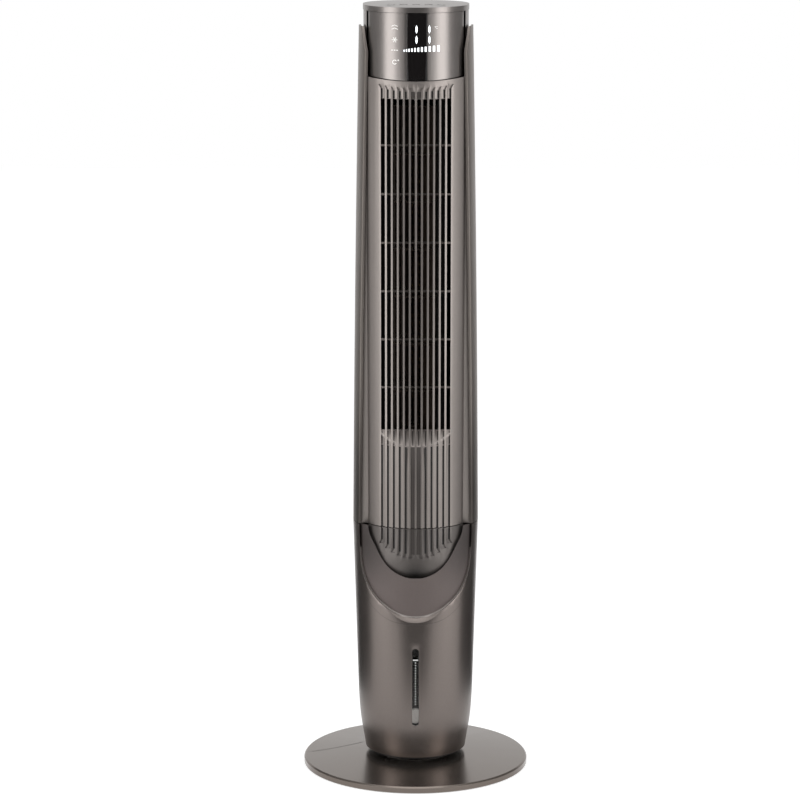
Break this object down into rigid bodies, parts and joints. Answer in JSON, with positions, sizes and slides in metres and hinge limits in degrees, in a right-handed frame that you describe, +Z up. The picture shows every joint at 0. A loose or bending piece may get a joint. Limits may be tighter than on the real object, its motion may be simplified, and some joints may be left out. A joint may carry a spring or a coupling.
{
  "type": "tower fan",
  "caption": "Tall tower fan with a water tank: ribbed front outlet, wrap-round side panels, glossy display head, level window and a round swivelling base.",
  "frame": {"origin": "centre of the base at floor level, under its rubber feet", "axes": "+Z up, the outlet grille and the display face -Y, +X to the right seen from the front"},
  "size_m": [0.318, 0.318, 1.08],
  "materials": {
    "shell_paint": "satin metallic graphite paint on moulded plastic",
    "head_paint": "glossy metallic graphite",
    "smoked_glass": null,
    "dark_plastic": "dark moulded plastic",
    "impeller_plastic": "black glass-filled plastic",
    "button_plastic": "satin graphite",
    "clear_window": "clear moulded window with a printed level scale",
    "tank_plastic": "smoke-tinted moulded plastic",
    "float_plastic": "light grey",
    "rubber": "matt black",
    "washer_plastic": "natural acetal",
    "gear_plastic": "natural acetal",
    "steel": "zinc-plated and turned steel",
    "bronze": "sintered bronze",
    "board": "green circuit board with dark components",
    "pump_plastic": "potted black plastic",
    "silicone": "translucent silicone",
    "pad_fibre": "honeycomb of corrugated cellulose",
    "filter_mesh": "fine black mesh"
  },
  "bodies": {
    "base": {"base_front": "shell_paint", "base_rear": "shell_paint", "base_feet": "rubber", "base_hub": "dark_plastic", "base_screws": "steel", "swivel_washer": "washer_plastic"},
    "tower": {"turntable": "dark_plastic", "turntable_screws": "steel", "swivel_retainer": "dark_plastic", "retainer_screws": "steel", "swivel_motor": "steel", "lower_housing": "shell_paint", "bib_panel": "shell_paint", "nose_cover": "shell_paint", "level_window": "clear_window", "cord_gland": "dark_plastic", "drip_tray": "dark_plastic", "power_board": "board", "motor_plate": "dark_plastic", "top_plate": "dark_plastic", "top_bearing": "bronze", "fan_motor": "steel", "motor_screws": "steel", "volute_wall": "dark_plastic", "cutoff_wall": "dark_plastic", "riser_tube": "silicone", "water_distributor": "dark_plastic", "front_grille": "shell_paint", "left_side_panel": "shell_paint", "right_side_panel": "shell_paint", "rear_shell": "shell_paint", "shell_screws": "steel", "head_housing": "head_paint", "display_panel": "head_paint", "display_window": "smoked_glass", "display_board": "board", "top_cap": "head_paint", "control_board": "board"},
    "swivel_pinion": {"swivel_pinion": "gear_plastic"},
    "impeller": {"impeller": "impeller_plastic", "impeller_shaft": "steel"},
    "tank": {"water_tank": "tank_plastic", "tank_door": "shell_paint", "pump": "pump_plastic", "pump_pipe": "tank_plastic", "float_guide": "tank_plastic"},
    "level_float": {"level_float": "float_plastic"},
    "intake": {"rear_grille": "dark_plastic", "pad_frame": "dark_plastic", "cooling_pad": "pad_fibre", "dust_filter": "filter_mesh"},
    "power_button": {"power_button": "button_plastic"},
    "speed_button": {"speed_button": "button_plastic"},
    "mode_button": {"mode_button": "button_plastic"},
    "swing_button": {"swing_button": "button_plastic"},
    "timer_button": {"timer_button": "button_plastic"}
  },
  "joints": [
    {"name": "tower_swing", "type": "hinge", "parent": "base", "child": "tower", "pos_m": [0, 0, 0.02], "axis": [0, 0, 1], "range_deg": [-35, 35]},
    {"name": "pinion_turn", "type": "hinge", "parent": "tower", "child": "swivel_pinion", "pos_m": [0, 0.032, 0.02], "axis": [0, 0, 1], "range_deg": [-175, 175]},
    {"name": "impeller_spin", "type": "hinge", "parent": "tower", "child": "impeller", "pos_m": [0, -0.012, 0.7], "axis": [0, 0, 1], "continuous": true},
    {"name": "tank_slide", "type": "slide", "parent": "tower", "child": "tank", "axis": [0, 1, 0], "range_m": [0, 0.16]},
    {"name": "float_rise", "type": "slide", "parent": "tank", "child": "level_float", "axis": [0, 0, 1], "range_m": [0, 0.09]},
    {"name": "intake_slide", "type": "slide", "parent": "tower", "child": "intake", "axis": [0, 1, 0], "range_m": [0, 0.12]},
    {"name": "power_button_press", "type": "slide", "parent": "tower", "child": "power_button", "axis": [0, 0, -1], "range_m": [0, 0.001], "stiffness_N_per_m": 250},
    {"name": "speed_button_press", "type": "slide", "parent": "tower", "child": "speed_button", "axis": [0, 0, -1], "range_m": [0, 0.001], "stiffness_N_per_m": 250},
    {"name": "mode_button_press", "type": "slide", "parent": "tower", "child": "mode_button", "axis": [0, 0, -1], "range_m": [0, 0.001], "stiffness_N_per_m": 250},
    {"name": "swing_button_press", "type": "slide", "parent": "tower", "child": "swing_button", "axis": [0, 0, -1], "range_m": [0, 0.001], "stiffness_N_per_m": 250},
    {"name": "timer_button_press", "type": "slide", "parent": "tower", "child": "timer_button", "axis": [0, 0, -1], "range_m": [0, 0.001], "stiffness_N_per_m": 250}
  ],
  "couplings": [
    {"joint": "pinion_turn", "follows": "tower_swing", "ratio": -5}
  ]
}
